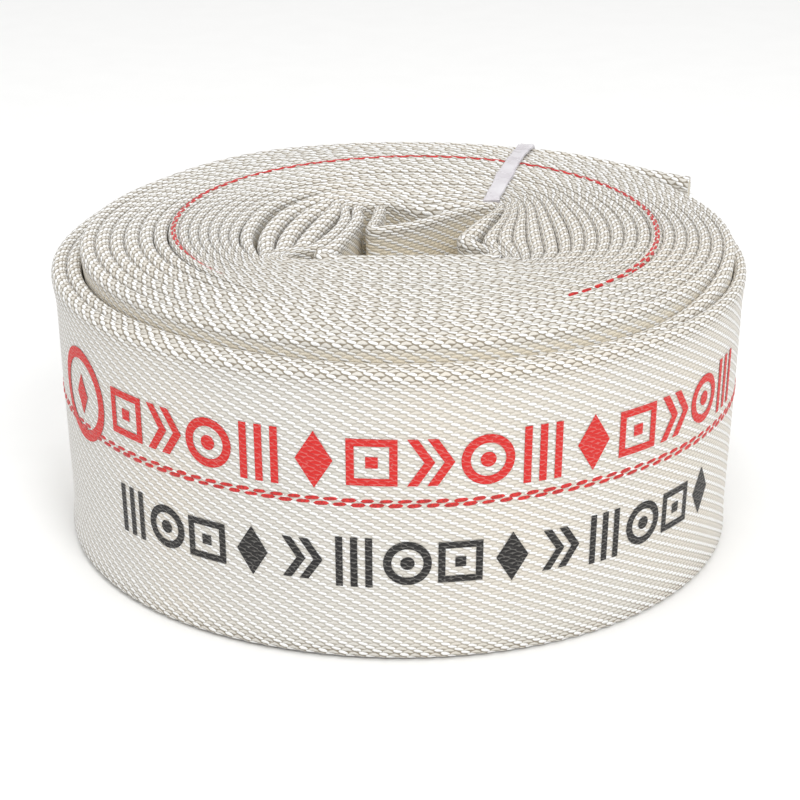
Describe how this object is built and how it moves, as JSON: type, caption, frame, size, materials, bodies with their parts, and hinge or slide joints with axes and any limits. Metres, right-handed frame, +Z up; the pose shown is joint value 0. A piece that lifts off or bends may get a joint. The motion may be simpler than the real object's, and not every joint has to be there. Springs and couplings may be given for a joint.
{
  "type": "rolled fire hose",
  "caption": "Lay-flat woven fire hose with a bonded lining and red marker yarns, wound flat into a roll with a hollow centre and held by a film tie.",
  "frame": {"origin": "centre of the roll's outline, on the surface that the roll lies on", "axes": "+Z up along the roll's axis; -Y is the side with the marker yarns and print in full view; the free outer end points towards +X at the back"},
  "size_m": [0.2496, 0.2508, 0.1118],
  "materials": {
    "woven_jacket": "off-white polyester filament, circular woven twill, slightly glossy",
    "hose_lining": "cream smooth elastomer lining, satin",
    "marker_yarn": "red woven-in yarn",
    "tie_film": "thin translucent film, creased"
  },
  "bodies": {
    "roll": {"jacket_core_outermost": "woven_jacket", "jacket_core_outer": "woven_jacket", "jacket_core_inner": "woven_jacket", "jacket_core_innermost": "woven_jacket", "lining_core_outermost": "hose_lining", "lining_core_outer": "hose_lining", "lining_core_inner": "hose_lining", "lining_core_innermost": "hose_lining", "jacket_outer_turns": "woven_jacket", "lining_outer_turns": "hose_lining", "marker_yarns_outer_turns": "marker_yarn", "marker_yarns_core_turn": "marker_yarn", "tie_band": "tie_film", "tie_band_seal": "tie_film"},
    "tail_root": {"jacket_tail_root": "woven_jacket", "lining_tail_root": "hose_lining", "marker_yarns_tail_root": "marker_yarn"},
    "tail_end": {"jacket_tail_end": "woven_jacket", "lining_tail_end": "hose_lining", "marker_yarns_tail_end": "marker_yarn"},
    "inner_flap": {"jacket_inner_flap": "woven_jacket", "lining_inner_flap": "hose_lining"}
  },
  "joints": [
    {"name": "tail_peel", "type": "hinge", "parent": "roll", "child": "tail_root", "pos_m": [0.05892, 0.11452, 0.052], "axis": [0, 0, 1], "range_deg": [-6, 85]},
    {"name": "tail_bend", "type": "hinge", "parent": "tail_root", "child": "tail_end", "pos_m": [0.08956, 0.10445, 0.052], "axis": [0, 0, 1], "range_deg": [-25, 45]},
    {"name": "inner_fold", "type": "hinge", "parent": "roll", "child": "inner_flap", "pos_m": [-0.00999, 0.00956, 0.059], "axis": [0, 0, 1], "range_deg": [-14, 12]}
  ]
}
